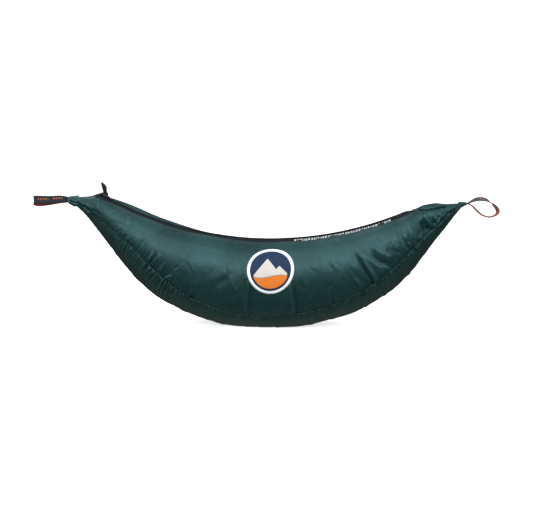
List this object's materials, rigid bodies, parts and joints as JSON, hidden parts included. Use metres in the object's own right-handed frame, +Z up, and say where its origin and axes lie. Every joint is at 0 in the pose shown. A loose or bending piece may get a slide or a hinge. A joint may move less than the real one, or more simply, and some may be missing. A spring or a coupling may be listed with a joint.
{
  "type": "packed camp quilt",
  "caption": "Insulated camp quilt stuffed in its own crescent-shaped ripstop bag, with a zip along the concave top edge and a webbing loop at each tip.",
  "frame": {"origin": "on the ground under the middle of the bag's overall box", "axes": "+X along the bag to the end without the slider, +Y to the back, +Z up; the badge faces -Y"},
  "size_m": [0.7441, 0.1317, 0.2276],
  "materials": {
    "shell_ripstop": "satin",
    "gusset_ripstop": "satin",
    "zip_tape": "matte",
    "zip_coil": "satin",
    "zip_metal": "gloss",
    "zip_puller": "gloss",
    "webbing": "matte",
    "thread": "matte",
    "badge_white": "satin",
    "badge_navy": "satin",
    "badge_cream": "satin",
    "badge_orange": "satin",
    "quilt_face": "satin",
    "quilt_fill": "matte",
    "quilt_lining": "satin"
  },
  "bodies": {
    "root": {"front_side_panel": "shell_ripstop", "back_side_panel": "shell_ripstop", "bottom_panel": "gusset_ripstop", "front_seam_binding": "gusset_ripstop", "back_seam_binding": "gusset_ripstop", "left_end_gather": "shell_ripstop", "right_end_gather": "shell_ripstop", "front_zip_tape": "zip_tape", "back_zip_tape": "zip_tape", "front_zip_coil": "zip_coil", "back_zip_coil": "zip_coil", "zip_top_stops": "zip_metal", "zip_bottom_stop": "zip_metal", "left_webbing_tail": "webbing", "right_webbing_tail": "webbing", "left_bar_tack": "thread", "right_bar_tack": "thread", "badge_film": "badge_white", "badge_field": "badge_navy", "badge_peaks": "badge_cream", "badge_ground": "badge_orange", "quilt_face_fabric": "quilt_face", "quilt_insulation": "quilt_fill", "quilt_lining": "quilt_lining"},
    "zip_slider": {"zip_slider_body": "zip_metal", "zip_slider_bridge": "zip_metal"},
    "puller": {"zip_puller": "zip_puller"},
    "left_loop": {"left_webbing_loop": "webbing"},
    "right_loop": {"right_webbing_loop": "webbing"}
  },
  "joints": [
    {"name": "zip_travel", "type": "hinge", "parent": "root", "child": "zip_slider", "pos_m": [0.006, 0, 0.693], "axis": [0, -1, 0], "range_deg": [0, 51]},
    {"name": "puller_swing", "type": "hinge", "parent": "zip_slider", "child": "puller", "pos_m": [-0.25403, 0, 0.21017], "axis": [0, 1, 0], "range_deg": [-32, 117]},
    {"name": "left_loop_bend", "type": "hinge", "parent": "root", "child": "left_loop", "pos_m": [-0.3152, 0, 0.1986], "axis": [0, 0, 1], "range_deg": [-65, 65], "stiffness_Nm_per_rad": 0.006},
    {"name": "right_loop_bend", "type": "hinge", "parent": "root", "child": "right_loop", "pos_m": [0.3222, 0, 0.1988], "axis": [0, 1, 0], "range_deg": [-65, 65], "stiffness_Nm_per_rad": 0.006}
  ]
}
